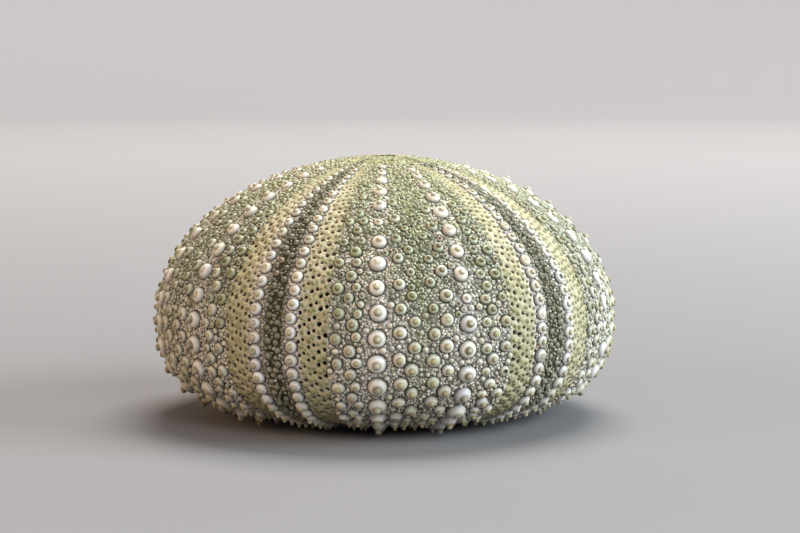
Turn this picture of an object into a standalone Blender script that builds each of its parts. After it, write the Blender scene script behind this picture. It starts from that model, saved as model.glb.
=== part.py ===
"""Empty sea urchin shell: one thin domed wall set with knobs, open at the mouth below and at the top."""
import math
import random

import bpy
import numpy as np
from mathutils.geometry import delaunay_2d_cdt

# Driving dimensions, in metres
WALL_RADIUS = 0.02236        # bare wall at its widest
DOME_HEIGHT = 0.01510        # bare wall, widest level to the top
BASE_DEPTH = 0.00975         # bare wall, widest level to the lowest ring
WALL = 0.0013                # thickness of the wall
MOUTH_RADIUS = 0.0096        # edge of the mouth hole
MOUTH_TUCK = 0.0009          # how far the mouth edge is drawn up inside
TUCK_START = 0.0136          # radius where the tuck begins
TOP_RADIUS = 0.0015          # edge of the top hole

# Roundness of the wall: exponents of the two superellipse quarters
DOME_POWERS = (1.935, 1.895)
BASE_POWERS = (4.385, 2.515)

# Longitudes in degrees, 0 at -Y and growing towards +X
WIDE_CENTRE = 9.0            # middle of a wide field
NARROW_CENTRE = -27.0        # middle of a narrow field
WIDE_COLUMN = 10.7           # big knob column from the middle of its field
NARROW_COLUMN = 4.8          # bead column from the middle of its field

# Distances down the wall from the top, as shares of the wall's radius
ROW_AT = (0.25, 0.40, 0.60, 0.90, 1.30, 1.70, 2.00, 2.14)
ROW_STEP = (0.060, 0.082, 0.105, 0.111, 0.103, 0.101, 0.085, 0.070)
NARROW_STEP = 0.555          # bead spacing as a share of the big knob spacing
WIDE_START, NARROW_START = 0.30, 0.31
ROWS_END = 2.12
PHASES = (0.0, 0.032, 0.010, -0.015, 0.022)    # rows of each fifth moved down

# Knob widths in millimetres at distances down the wall
WIDE_AT = (0.26, 0.40, 0.56, 0.68, 0.90, 1.10, 1.30, 1.50, 1.70, 1.90, 2.10)
WIDE_SIZE = (0.70, 1.05, 1.30, 1.43, 1.48, 1.53, 1.64, 1.80, 1.85, 1.60, 1.10)
NARROW_AT = (0.26, 0.40, 0.60, 0.90, 1.20, 1.50, 1.80, 2.00, 2.12)
NARROW_SIZE = (0.50, 0.65, 0.85, 1.05, 1.18, 1.25, 1.20, 1.00, 0.80)
SIDE_AT = (0.45, 0.75, 1.00, 1.20, 1.34, 1.50, 1.80, 2.00)

# Side knobs of a big knob: degrees away from its field's middle, steps down the wall, widths at SIDE_AT
SIDE_KNOBS = (
    (-5.2, -0.18, (0.60, 0.95, 1.08, 1.27, 1.30, 1.35, 1.20, 0.80)),
    (-8.3, 0.32, (0.00, 0.70, 0.75, 0.80, 1.25, 1.30, 1.10, 0.70)),
    (6.3, 0.48, (0.50, 0.85, 1.00, 1.18, 1.22, 1.25, 1.10, 0.80)),
    (9.6, 0.00, (0.00, 0.80, 0.95, 1.12, 1.18, 1.20, 1.05, 0.75)),
    (5.0, 0.00, (0.00, 0.75, 0.88, 1.04, 1.08, 1.10, 0.95, 0.70)),
)
SIDE_LEAST = 0.50            # narrower side knobs are left out
SIDE_RAISED = 0.00125        # side knobs wider than this are raised on the solid

# Worn or stunted big knobs: side of the front field and distance down the wall, and a share elsewhere
WORN = ((-1, 0.79), (1, 1.16))
WORN_SHARE = 0.03

# Knob heights as shares of their widths, and how much taller they stand low down the wall
WIDE_HEIGHT, NARROW_HEIGHT, SIDE_HEIGHT = 0.46, 0.43, 0.43
TALL_AT, TALL = (1.60, 1.92), (1.0, 1.5)
FLAT_TOP = 0.2               # radius of a big knob's flat top as a share of its width
REST_BITE = 0.00012          # how much the lowest knobs are worn flat

# Points round the two edges and the inner face
MOUTH_POINTS, TOP_POINTS = 40, 20
INNER_RINGS, INNER_POINTS = 9, 24
BARE_STEP = 0.0045           # spacing of plain points along the strips without knobs


def superellipse(radius, height, powers, angle):
    """Radius and height of one quarter of the wall at an angle above the widest level."""
    r = radius * np.cos(angle) ** (2.0 / powers[0])
    z = height * np.sin(angle) ** (2.0 / powers[1])
    return r, z


def wall_profile(offset):
    """Distance from the top, radius, height and normal down the wall, from top hole to mouth."""
    upper = np.linspace(math.pi / 2.0 - 1e-6, 0.0, 1200)
    lower = np.linspace(0.0, math.pi / 2.0 - 1e-4, 1200)[1:]
    r_up, z_up = superellipse(WALL_RADIUS, DOME_HEIGHT, DOME_POWERS, upper)
    r_low, z_low = superellipse(WALL_RADIUS, BASE_DEPTH, BASE_POWERS, lower)
    r = np.concatenate([r_up, r_low])
    z = np.concatenate([z_up, -z_low])
    below = np.arange(len(r)) >= len(r_up)
    tuck = np.clip((TUCK_START - r) / (TUCK_START - MOUTH_RADIUS), 0.0, None)
    z = np.where(below, z + MOUTH_TUCK * tuck ** 2, z)
    s = np.concatenate([[0.0], np.cumsum(np.hypot(np.diff(r), np.diff(z)))])
    even = np.arange(0.0, s[-1], 0.00002)
    r, z = np.interp(even, s, r), np.interp(even, s, z)
    smooth = np.ones(25) / 25.0
    tangent_r = np.convolve(np.gradient(r, even), smooth, "same")
    tangent_z = np.convolve(np.gradient(z, even), smooth, "same")
    size = np.hypot(tangent_r, tangent_z)
    nr, nz = -tangent_z / size, tangent_r / size
    half = int(np.argmax(r))
    first = int(np.searchsorted(r[:half], TOP_RADIUS))
    last = half + int(np.searchsorted(-r[half:], -MOUTH_RADIUS))
    keep = slice(first, last + 1)
    r_in, z_in = r + nr * offset, z + nz * offset
    return even[keep], r_in[keep], z_in[keep], nr[keep], nz[keep]


def row_places(anchor, ratio, start, end):
    """Places of the rows up and down from an anchor, each a local step apart."""
    rows = [anchor]
    while rows[-1] < end:
        rows.append(rows[-1] + ratio * np.interp(rows[-1], ROW_AT, ROW_STEP))
    rows.pop()
    while rows[0] > start:
        rows.insert(0, rows[0] - ratio * np.interp(rows[0], ROW_AT, ROW_STEP))
    return rows[1:]


def knob_layout():
    """All knobs as kind, distance down the wall, longitude in degrees and width, in metres."""
    rng = random.Random(11)
    knobs = []
    for sector in range(5):
        turn = 72.0 * sector
        phase = PHASES[sector]
        for side, anchor in ((-1, 1.322), (1, 1.270)):
            for place in row_places(anchor + phase, 1.0, WIDE_START, ROWS_END):
                width = np.interp(place, WIDE_AT, WIDE_SIZE) * rng.uniform(0.95, 1.05)
                front_worn = sector == 0 and any(side == a and abs(place - b) < 0.04 for a, b in WORN)
                if front_worn or rng.random() < WORN_SHARE:
                    width *= 0.62
                shift = rng.uniform(-0.25, 0.25)
                centre = WIDE_CENTRE + turn + side * WIDE_COLUMN + shift
                knobs.append(("wide", place * WALL_RADIUS, centre, width * 0.001))
                step = np.interp(place, ROW_AT, ROW_STEP)
                for ahead, down, widths in SIDE_KNOBS:
                    width = np.interp(place, SIDE_AT, widths) * rng.uniform(0.88, 1.08)
                    spot = centre + side * ahead + rng.uniform(-0.4, 0.4)
                    level = place + (down + rng.uniform(-0.06, 0.06)) * step
                    if width > SIDE_LEAST and level < ROWS_END:
                        knobs.append(("side", level * WALL_RADIUS, spot, width * 0.001))
        for side, anchor in ((-1, 1.276), (1, 1.307)):
            for place in row_places(anchor + phase, NARROW_STEP, NARROW_START, ROWS_END + 0.01):
                width = np.interp(place, NARROW_AT, NARROW_SIZE) * rng.uniform(0.94, 1.06)
                centre = NARROW_CENTRE + turn + side * NARROW_COLUMN + rng.uniform(-0.15, 0.15)
                knobs.append(("narrow", place * WALL_RADIUS, centre, width * 0.001))
    return knobs


def knob_rings(kind, width, s):
    """Rings of a knob as point count, ring radius and height; the last one may be its tip."""
    taller = float(np.interp(s / WALL_RADIUS, TALL_AT, TALL))
    if kind == "wide" and width > 0.0013:
        full = WIDE_HEIGHT * width * taller
        return ((6, 0.5 * width, 0.0), (6, FLAT_TOP * width / taller, full))
    share = {"wide": WIDE_HEIGHT, "narrow": NARROW_HEIGHT, "side": SIDE_HEIGHT}[kind]
    return ((5, 0.5 * width, 0.0), (1, 0.0, share * width * taller))


class Wall:
    """The outer or inner face of the wall, with a flat map that keeps small circles round."""

    def __init__(self, offset):
        self.s, self.r, self.z, self.nr, self.nz = wall_profile(offset)
        steps = np.diff(self.s) * 0.5 * (1.0 / self.r[1:] + 1.0 / self.r[:-1])
        self.grow = np.concatenate([[0.0], np.cumsum(steps)])

    def flat(self, s, lon):
        """Point of the flat map."""
        rho = math.exp(np.interp(s, self.s, self.grow))
        return (rho * math.sin(lon), -rho * math.cos(lon))

    def point(self, s, lon, height):
        """Point in space at a height above the face."""
        r = np.interp(s, self.s, self.r) + height * np.interp(s, self.s, self.nr)
        z = np.interp(s, self.s, self.z) + height * np.interp(s, self.s, self.nz)
        return (r * math.sin(lon), -r * math.cos(lon), z)


def sheet(wall, places):
    """Triangles over places (s, longitude, height) whose first and last rings are the two edges."""
    flat = [wall.flat(s, lon) for s, lon, height in places]
    top = list(range(TOP_POINTS))
    mouth = list(range(TOP_POINTS, TOP_POINTS + MOUTH_POINTS))
    edges = [(top[i], top[(i + 1) % len(top)]) for i in range(len(top))]
    edges += [(mouth[i], mouth[(i + 1) % len(mouth)]) for i in range(len(mouth))]
    result = delaunay_2d_cdt(flat, edges, [], 0, 1e-7)
    source = [group[0] for group in result[3]]
    faces = []
    for face in result[2]:
        face = [source[i] for i in face]
        if all(i < TOP_POINTS for i in face):
            continue
        faces.append(face)
    return faces


def edge_places(wall):
    """The top edge ring and then the mouth edge ring."""
    rings = [(wall.s[0], 2.0 * math.pi * i / TOP_POINTS, 0.0) for i in range(TOP_POINTS)]
    rings += [(wall.s[-1], 2.0 * math.pi * i / MOUTH_POINTS, 0.0) for i in range(MOUTH_POINTS)]
    return rings


def outer_places(wall):
    """Edge rings, then every knob ring that keeps clear of a bigger knob."""
    places = edge_places(wall)
    taken = []
    order = {"wide": 0, "narrow": 1, "side": 2}
    for kind, s, lon, width in sorted(knob_layout(), key=lambda k: (order[k[0]], -k[3])):
        if kind == "side" and width < SIDE_RAISED:
            continue
        angle = math.radians(lon)
        centre = np.array(wall.point(s, angle, 0.0))
        radius = 0.5 * width
        crowd = [np.linalg.norm(centre - other) - far for other, far in taken]
        if crowd and min(crowd) < radius * (0.8 if kind != "side" else 1.05):
            if kind == "side":
                continue
            radius = max(min(crowd) * 0.98, 0.6 * radius)
        taken.append((centre, radius))
        scale = radius / (0.5 * width)
        for count, ring, height in knob_rings(kind, width, s):
            for i in range(count):
                turn = 2.0 * math.pi * (i + 0.25) / count
                level = s + scale * ring * math.cos(turn)
                level = min(max(level, wall.s[0] + 0.0002), wall.s[-1] - 0.0002)
                reach = np.interp(level, wall.s, wall.r)
                places.append((level, angle + scale * ring * math.sin(turn) / reach, height))
    for sector in range(5):
        for lean in (-10.0, 10.0, 36.0):
            angle = math.radians(NARROW_CENTRE + 72.0 * sector + lean)
            for level in np.arange(wall.s[0] + 0.5 * BARE_STEP, wall.s[-1], BARE_STEP):
                centre = np.array(wall.point(level, angle, 0.0))
                if min(np.linalg.norm(centre - other) - far for other, far in taken) > 0.0006:
                    places.append((level, angle, 0.0))
    return places


def inner_places(wall):
    """Edge rings and even rings between them, staggered."""
    places = edge_places(wall)
    grow = np.linspace(0.0, 1.0, INNER_RINGS + 2)[1:-1]
    for k, share in enumerate(grow):
        s = wall.s[0] + share * (wall.s[-1] - wall.s[0])
        count = max(TOP_POINTS, int(INNER_POINTS * min(1.0, 0.55 + 1.2 * share)))
        for i in range(count):
            places.append((s, 2.0 * math.pi * (i + 0.5 * (k % 2)) / count, 0.0))
    return places


def main():
    for item in list(bpy.data.objects):
        bpy.data.objects.remove(item)
    outer, inner = Wall(0.0), Wall(-WALL)
    out_places, in_places = outer_places(outer), inner_places(inner)
    out_points = np.array([outer.point(*place) for place in out_places])
    in_points = np.array([inner.point(*place) for place in in_places])
    floor = out_points[:, 2].min() + REST_BITE
    out_points[:, 2] = np.maximum(out_points[:, 2] - floor, 0.0)
    in_points[:, 2] -= floor
    base = len(out_points)
    faces = [tuple(face) for face in sheet(outer, out_places)]
    faces += [tuple(base + i for i in reversed(face)) for face in sheet(inner, in_places)]
    for first, count, flip in ((0, TOP_POINTS, False), (TOP_POINTS, MOUTH_POINTS, True)):
        for i in range(count):
            a, b = first + i, first + (i + 1) % count
            c, d = base + b, base + a
            faces += [(c, b, a), (d, c, a)] if flip else [(a, b, c), (a, c, d)]
    mesh = bpy.data.meshes.new("shell")
    mesh.from_pydata(np.concatenate([out_points, in_points]).tolist(), [], faces)
    mesh.validate()
    mesh.update()
    shell = bpy.data.objects.new("shell", mesh)
    bpy.context.scene.collection.objects.link(shell)
    material = bpy.data.materials.new("shell")
    material.use_nodes = True
    surface = material.node_tree.nodes["Principled BSDF"]
    surface.inputs["Base Color"].default_value = (0.42, 0.43, 0.29, 1.0)
    surface.inputs["Roughness"].default_value = 0.62
    surface.inputs["Metallic"].default_value = 0.0
    mesh.materials.append(material)
    mesh.shade_smooth()
    mesh.set_sharp_from_angle(angle=math.radians(28.0))


main()
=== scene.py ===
"""Looks of the empty sea urchin shell: stained chalky wall, pores, knobs, small knobs and fine grains."""
import math
import random

import bpy
import numpy as np
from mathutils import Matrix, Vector
from mathutils.geometry import delaunay_2d_cdt


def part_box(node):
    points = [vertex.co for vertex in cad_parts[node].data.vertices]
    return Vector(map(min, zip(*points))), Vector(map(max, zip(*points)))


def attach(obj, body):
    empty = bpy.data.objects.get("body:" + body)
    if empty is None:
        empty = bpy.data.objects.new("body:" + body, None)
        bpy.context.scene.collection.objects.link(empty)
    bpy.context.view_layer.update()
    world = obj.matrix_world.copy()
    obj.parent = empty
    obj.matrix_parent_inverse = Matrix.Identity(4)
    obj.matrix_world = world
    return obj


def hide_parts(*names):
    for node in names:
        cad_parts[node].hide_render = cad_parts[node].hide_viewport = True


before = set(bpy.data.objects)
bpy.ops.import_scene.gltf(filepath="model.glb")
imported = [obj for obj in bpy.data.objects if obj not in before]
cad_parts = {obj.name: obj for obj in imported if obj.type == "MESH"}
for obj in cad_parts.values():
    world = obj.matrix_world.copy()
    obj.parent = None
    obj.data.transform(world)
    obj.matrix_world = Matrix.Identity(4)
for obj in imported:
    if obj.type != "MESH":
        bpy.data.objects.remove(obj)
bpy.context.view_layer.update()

MM = 0.001
TURN = 2.0 * math.pi

# Size of the wall in metres, as on the solid
WALL_RADIUS = 0.02236
DOME_HEIGHT = 0.01510
BASE_DEPTH = 0.00975
WALL = 0.0013
MOUTH_RADIUS = 0.0096
MOUTH_TUCK = 0.0009
TUCK_START = 0.0136
TOP_RADIUS = 0.0015
DOME_POWERS = (1.935, 1.895)
BASE_POWERS = (4.385, 2.515)
PROFILE_STEP = 0.00002
PROFILE_ANGLES = 1200
SMOOTHING = 25

# Longitudes in degrees, 0 at -Y and growing towards +X
SECTORS = 5
SECTOR = 72.0
WIDE_CENTRE = 9.0
NARROW_CENTRE = -27.0
WIDE_COLUMN = 10.7
NARROW_COLUMN = 4.8

# Rows down the wall, as shares of the wall's radius
ROW_AT = (0.25, 0.40, 0.60, 0.90, 1.30, 1.70, 2.00, 2.14)
ROW_STEP = (0.060, 0.082, 0.105, 0.111, 0.103, 0.101, 0.085, 0.070)
NARROW_STEP = 0.555
WIDE_START, NARROW_START, PORE_START = 0.30, 0.31, 0.30
ROWS_END = 2.12
NARROW_END = ROWS_END + 0.01
WIDE_ANCHORS = ((-1, 1.322), (1, 1.270))
NARROW_ANCHORS = ((-1, 1.276), (1, 1.307))
PHASES = (0.0, 0.032, 0.010, -0.015, 0.022)

# Knob widths in millimetres at distances down the wall
WIDE_AT = (0.26, 0.40, 0.56, 0.68, 0.90, 1.10, 1.30, 1.50, 1.70, 1.90, 2.10)
WIDE_SIZE = (0.70, 1.05, 1.30, 1.43, 1.48, 1.53, 1.64, 1.80, 1.85, 1.60, 1.10)
NARROW_AT = (0.26, 0.40, 0.60, 0.90, 1.20, 1.50, 1.80, 2.00, 2.12)
NARROW_SIZE = (0.50, 0.65, 0.85, 1.05, 1.18, 1.25, 1.20, 1.00, 0.80)

# Side knobs of a big knob: degrees away, steps down the wall, and widths in mm at these levels
SIDE_AT = (0.45, 0.75, 1.00, 1.20, 1.34, 1.50, 1.80, 2.00)
SIDE_KNOBS = (
    (-5.2, -0.18, (0.65, 1.10, 1.15, 1.27, 1.30, 1.35, 1.20, 0.80)),
    (-8.3, 0.32, (0.00, 0.85, 0.95, 1.00, 1.25, 1.30, 1.10, 0.70)),
    (6.3, 0.48, (0.55, 1.00, 1.12, 1.18, 1.22, 1.25, 1.10, 0.80)),
    (9.6, 0.00, (0.00, 0.95, 1.08, 1.14, 1.18, 1.20, 1.05, 0.75)),
    (5.0, 0.00, (0.00, 0.85, 0.98, 1.06, 1.08, 1.10, 0.95, 0.70)),
)
SIDE_LEAST = 0.50

# Worn big knobs of the front: side and place; and how near, how common and how wide worn ones are
WORN = ((-1, 0.79), (1, 1.16))
WORN_NEAR, WORN_SHARE, WORN_WIDTH = 0.04, 0.03, 0.62

# Knobs that meet others shrink into the room left, down to a least share of their radius
ROOM_USED, ROOM_LEAST = 0.97, 0.55
SMALL_ROOM_LEAST = 0.45

# Heights as shares of the width; knobs near the lower edge are taller, and the tallest are cones
HEIGHT_SHARE = {"wide": 0.48, "narrow": 0.45, "side": 0.45, "small": 0.38, "pore": 0.34, "grain": 0.42}
TALL_AT, TALL = (1.60, 1.92), (1.0, 1.5)
CONE_FROM = 1.2

# Pore pairs of a bead: degrees from the field's middle, steps down the wall, half gap in mm, radius in mm
PORE_PAIRS = ((7.35, 0.50, 0.225, 0.176), (9.8, 0.88, 0.245, 0.188), (12.35, 0.20, 0.285, 0.213))
PORE_DROP = 0.11  # mm that the inner pore of a pair sits below the outer one, halved
PORE_DEPTH = 0.00045
SHUT_SHARE, SHUT_DEPTH = 0.04, 0.3
PORE_ROOM = 1.22
PORE_EDGE, SMALL_EDGE = 0.0006, 0.0004  # metres kept free above the mouth edge
PORE_REACH, SMALL_REACH = 0.0165, 0.017  # radius of the wall where pores and small knobs shrink

# Small knobs of a bead: degrees from the field's middle, steps down the wall, radius in mm
BEAD_SMALLS = (
    (1.30, 0.30, 0.34), (2.70, 0.86, 0.22), (9.2, 0.43, 0.27), (7.5, 0.96, 0.25), (11.7, 0.80, 0.27),
    (10.6, 0.38, 0.22), (12.95, 0.60, 0.23), (8.45, 0.08, 0.20), (14.2, 0.68, 0.36), (14.0, 0.20, 0.24),
)
PORE_KNOBS_IN = (6.5, 13.0)

# Plates round the top hole, and their small knobs: degrees, share of the way out, radius in mm
DISC_RADIUS = 0.0050
DISC_SMALLS = (
    (-26, 0.10, 0.24), (-9, 0.09, 0.26), (9, 0.10, 0.25), (27, 0.09, 0.24), (-17, 0.34, 0.22),
    (0, 0.30, 0.27), (17, 0.36, 0.22), (-12, 0.66, 0.24), (12, 0.68, 0.25), (36, 0.52, 0.30),
    (-30, 0.78, 0.22), (29, 0.80, 0.22), (36, 0.22, 0.20),
)
DISC_PORE_AT = 0.0041
DISC_PORE = 0.00024
DISC_PART = 400  # points of the wall's profile among which the plates end

# Small things thrown on: kind, least and most radius, tries, share kept among the pores, overlap
SMALL_SCATTER = (
    ("small", 0.00027, 0.00036, 5000, 0.0, 0.00004),
    ("small", 0.00019, 0.00026, 12000, 0.0, 0.00004),
)
GRAIN_SCATTER = ("grain", 0.00013, 0.00018, 30000, 0.05, 0.00005)
SPECK_SCATTER = ("grain", 0.00009, 0.00013, 30000, 0.12, 0.00004)
SPARSE_FIELD = (6.2, 13.0)
SPARSE_TOP, TOP_KEPT = 0.23, 0.25

# Points round the two edges, and on the inside
MOUTH_POINTS, TOP_POINTS = 150, 64
INNER_RINGS = 26
INNER_POINTS = 64

# Rings of points round knobs above a radius: shares of the radius and points in a ring
KNOB_RINGS = ((0.0006, (1.06, 1.24), 14), (0.0004, (1.06, 1.26), 11), (0.0, (1.10,), 7))
RINGED_KNOBS = 0.00022

# Rings of points round a pore: share of the radius, and turn as a share of the gap between points
PORE_RINGS = ((0.70, 0.0), (0.97, 0.5), (1.16, 0.5))
PORE_RING_POINTS = 7

# Plain points of the wall: distance between them on the plates and below, and how uneven they are
DISC_SPACING, WALL_SPACING = 0.00026, 0.00066
UNEVEN = 0.08
EDGE_FREE = 0.00012

# Profile of a knob: share of its radius, share of its height, from the foot to the tip
KNOB_PROFILE = (
    (1.03, -0.15), (0.985, 0.07), (0.925, 0.23), (0.82, 0.38), (0.68, 0.50), (0.53, 0.575),
    (0.42, 0.61), (0.375, 0.65), (0.385, 0.75), (0.34, 0.88), (0.20, 0.97), (0.0, 1.0),
)
WORN_PROFILE = (
    (1.03, -0.15), (0.985, 0.08), (0.925, 0.26), (0.82, 0.43), (0.68, 0.57), (0.53, 0.66),
    (0.42, 0.71), (0.33, 0.76), (0.24, 0.79), (0.12, 0.81), (0.0, 0.815),
)
PITTED_PROFILE = (
    (1.03, -0.15), (0.985, 0.08), (0.925, 0.25), (0.82, 0.41), (0.68, 0.54), (0.53, 0.61),
    (0.42, 0.62), (0.32, 0.59), (0.24, 0.46), (0.15, 0.36), (0.0, 0.34),
)
CONE_PROFILE = (
    (1.03, -0.15), (0.97, 0.06), (0.87, 0.18), (0.74, 0.32), (0.60, 0.45), (0.47, 0.57),
    (0.37, 0.66), (0.32, 0.74), (0.30, 0.84), (0.23, 0.93), (0.11, 0.98), (0.0, 1.0),
)
SMALL_PROFILE = ((1.03, -0.20), (0.93, 0.30), (0.68, 0.60), (0.46, 0.68), (0.38, 0.88), (0.0, 1.0))
BUMP_PROFILE = ((1.03, -0.20), (0.90, 0.38), (0.58, 0.74), (0.30, 0.95), (0.0, 1.0))
SOFT_PROFILE = ((1.10, -0.12), (0.76, 0.28), (0.50, 0.74), (0.26, 0.96), (0.0, 1.0))
GRAIN_PROFILE = ((1.02, -0.20), (0.92, 0.40), (0.58, 0.86), (0.0, 1.0))
SPECK_PROFILE = ((1.00, -0.20), (0.75, 0.62), (0.0, 1.0))
TIP_SHARE = {"wide": 0.37, "narrow": 0.47, "side": 0.45}
SOUND_SHARE, PITTED_FROM = 0.86, 0.975
# Pitted knobs: the rings down in the pit, and the painted shade that darkens them
PIT_RINGS, PIT_PAINTED_SHADE = 4, 0.22

# Colours along a knob: how dark its rim is, partly its own duller edge and partly painted shade; share
# where its crown ends; and painted shade at its foot where it meets the wall
RIM_SHADE = {"wide": 0.62, "narrow": 0.62, "side": 0.58, "small": 0.60, "grain": 0.60}
CROWN_END = {"pore": 0.50, "small": 0.55}
CROWN_USUAL = 0.46
FOOT_SHADE, PORE_KNOB_FOOT_SHADE = 0.8, 0.08

# Zones of colour: levels as shares of the wall's radius, and degrees from the middle of a field
HIGH_LEVELS, UPPER_LEVELS, LOW_LEVELS = (0.45, 1.00), (0.95, 1.40), (1.05, 1.45)
PORES_FROM, PORES_TO = (5.6, 6.6), (13.0, 14.6)
DARK_MIDDLE, MIDDLE_KNOBS = (3.6, 4.3), 4.4
RIDGE_AT, RIDGE_WIDTH = 4.85, 0.60

# Seeds of the random draws
KNOB_SEED, PORE_SEED, BEAD_SEED, SCATTER_SEED, WALL_SEED = 11, 5, 8, 21, 3


def srgb(red, green, blue):
    """Linear colour of a screen colour given in 0 to 255."""
    values = np.array([red, green, blue]) / 255.0
    return np.where(values <= 0.04045, values / 12.92, ((values + 0.055) / 1.055) ** 2.4)


# Colours of the shell
CREAM = srgb(215, 206, 190)
COOL_WHITE = srgb(211, 208, 207)
TAN = srgb(178, 159, 116)
OLIVE_TAN = srgb(146, 138, 94)
OLIVE = srgb(96, 90, 50)
DARK_OLIVE = srgb(54, 52, 32)
GREY_GREEN = srgb(152, 154, 124)
GAP = srgb(66, 65, 50)
PORE_CREAM = srgb(178, 166, 133)
PORE_GREEN = srgb(122, 121, 78)
DARK_BAND = srgb(98, 92, 68)
BAND_KNOB = srgb(112, 108, 84)
SUTURE = srgb(136, 144, 92)
PINK_GREY = srgb(206, 198, 194)
HALO = srgb(224, 213, 208)
INSIDE = srgb(196, 188, 164)
# Painted shadow in the pores, for the dark hollow seen through them
PORE_SHADOW = srgb(12, 11, 9)
RUST = srgb(198, 146, 120)
HIGH_GREEN = srgb(176, 175, 132)


def smooth_step(low, high, value):
    """0 below low, 1 above high, and an even curve between them."""
    t = np.clip((value - low) / (high - low), 0.0, 1.0)
    return t * t * (3.0 - 2.0 * t)


def smooth_fall(low, high, value):
    """1 below low, 0 above high, and an even curve between them."""
    return 1.0 - smooth_step(low, high, value)


def bell(value, middle, width):
    """1 at the middle, falling off to both sides."""
    return np.exp(-((value - middle) / width) ** 2)


def blend(first, second, share):
    """Mix of two colours, or colour arrays, by a share for each point."""
    share = np.asarray(share)[..., None]
    return first * (1.0 - share) + second * share


def superellipse(radius, height, powers, angle):
    """Radius and height of one quarter of the wall at an angle above the widest level."""
    r = radius * np.cos(angle) ** (2.0 / powers[0])
    z = height * np.sin(angle) ** (2.0 / powers[1])
    return r, z


def wall_profile(offset):
    """Distance from the top, radius, height and normal down the wall, from top hole to mouth."""
    upper = np.linspace(math.pi / 2.0 - 1e-6, 0.0, PROFILE_ANGLES)
    lower = np.linspace(0.0, math.pi / 2.0 - 1e-4, PROFILE_ANGLES)[1:]
    r_up, z_up = superellipse(WALL_RADIUS, DOME_HEIGHT, DOME_POWERS, upper)
    r_low, z_low = superellipse(WALL_RADIUS, BASE_DEPTH, BASE_POWERS, lower)
    r = np.concatenate([r_up, r_low])
    z = np.concatenate([z_up, -z_low])
    below = np.arange(len(r)) >= len(r_up)
    tuck = np.clip((TUCK_START - r) / (TUCK_START - MOUTH_RADIUS), 0.0, None)
    z = np.where(below, z + MOUTH_TUCK * tuck ** 2, z)
    s = np.concatenate([[0.0], np.cumsum(np.hypot(np.diff(r), np.diff(z)))])
    even = np.arange(0.0, s[-1], PROFILE_STEP)
    r, z = np.interp(even, s, r), np.interp(even, s, z)
    smooth = np.ones(SMOOTHING) / SMOOTHING
    tangent_r = np.convolve(np.gradient(r, even), smooth, "same")
    tangent_z = np.convolve(np.gradient(z, even), smooth, "same")
    size = np.hypot(tangent_r, tangent_z)
    nr, nz = -tangent_z / size, tangent_r / size
    half = int(np.argmax(r))
    first = int(np.searchsorted(r[:half], TOP_RADIUS))
    last = half + int(np.searchsorted(-r[half:], -MOUTH_RADIUS))
    keep = slice(first, last + 1)
    r_in, z_in = r + nr * offset, z + nz * offset
    return even[keep], r_in[keep], z_in[keep], nr[keep], nz[keep]


class Wall:
    """One face of the wall, with a flat map that keeps small circles round."""

    def __init__(self, offset, lift):
        self.s, self.r, self.z, self.nr, self.nz = wall_profile(offset)
        self.z = self.z + lift
        steps = np.diff(self.s) * 0.5 * (1.0 / self.r[1:] + 1.0 / self.r[:-1])
        self.grow = np.concatenate([[0.0], np.cumsum(steps)])

    def at(self, s, values):
        """One of the profile's columns at distances down the wall."""
        return np.interp(s, self.s, values)

    def flat(self, s, lon):
        """Points of the flat map."""
        rho = np.exp(self.at(s, self.grow))
        return np.stack([rho * np.sin(lon), -rho * np.cos(lon)], axis=-1)

    def point(self, s, lon, height):
        """Points in space at a height above the face."""
        r = self.at(s, self.r) + height * self.at(s, self.nr)
        z = self.at(s, self.z) + height * self.at(s, self.nz)
        return np.stack([r * np.sin(lon), -r * np.cos(lon), z], axis=-1)

    def axes(self, s, lon):
        """Outward normal, direction down the wall and direction round it."""
        nr, nz = self.at(s, self.nr), self.at(s, self.nz)
        out = np.stack([nr * np.sin(lon), -nr * np.cos(lon), nz], axis=-1)
        down = np.stack([nz * np.sin(lon), -nz * np.cos(lon), -nr], axis=-1)
        round_it = np.stack([np.cos(lon), np.sin(lon), 0.0 * nr], axis=-1)
        return out, down, round_it


def row_places(anchor, ratio, start, end):
    """Places of the rows up and down from an anchor, each a local step apart."""
    rows = [anchor]
    while rows[-1] < end:
        rows.append(rows[-1] + ratio * np.interp(rows[-1], ROW_AT, ROW_STEP))
    rows.pop()
    while rows[0] > start:
        rows.insert(0, rows[0] - ratio * np.interp(rows[0], ROW_AT, ROW_STEP))
    return rows[1:]


def knob_layout():
    """All knobs as kind, distance down the wall, longitude in degrees and width, in metres."""
    rng = random.Random(KNOB_SEED)
    knobs = []
    for sector, phase in enumerate(PHASES):
        turn = SECTOR * sector
        for side, anchor in WIDE_ANCHORS:
            for place in row_places(anchor + phase, 1.0, WIDE_START, ROWS_END):
                width = np.interp(place, WIDE_AT, WIDE_SIZE) * rng.uniform(0.95, 1.05)
                worn = any(side == a and abs(place - b) < WORN_NEAR for a, b in WORN)
                if sector == 0 and worn or rng.random() < WORN_SHARE:
                    width *= WORN_WIDTH
                centre = WIDE_CENTRE + turn + side * WIDE_COLUMN + rng.uniform(-0.25, 0.25)
                knobs.append(("wide", place * WALL_RADIUS, centre, width * MM))
                step = np.interp(place, ROW_AT, ROW_STEP)
                for ahead, down, widths in SIDE_KNOBS:
                    width = np.interp(place, SIDE_AT, widths) * rng.uniform(0.88, 1.08)
                    spot = centre + side * ahead + rng.uniform(-0.4, 0.4)
                    level = place + (down + rng.uniform(-0.06, 0.06)) * step
                    if width > SIDE_LEAST and level < ROWS_END:
                        knobs.append(("side", level * WALL_RADIUS, spot, width * MM))
        for side, anchor in NARROW_ANCHORS:
            for place in row_places(anchor + phase, NARROW_STEP, NARROW_START, NARROW_END):
                width = np.interp(place, NARROW_AT, NARROW_SIZE) * rng.uniform(0.94, 1.06)
                centre = NARROW_CENTRE + turn + side * NARROW_COLUMN + rng.uniform(-0.15, 0.15)
                knobs.append(("narrow", place * WALL_RADIUS, centre, width * MM))
    return knobs


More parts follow.
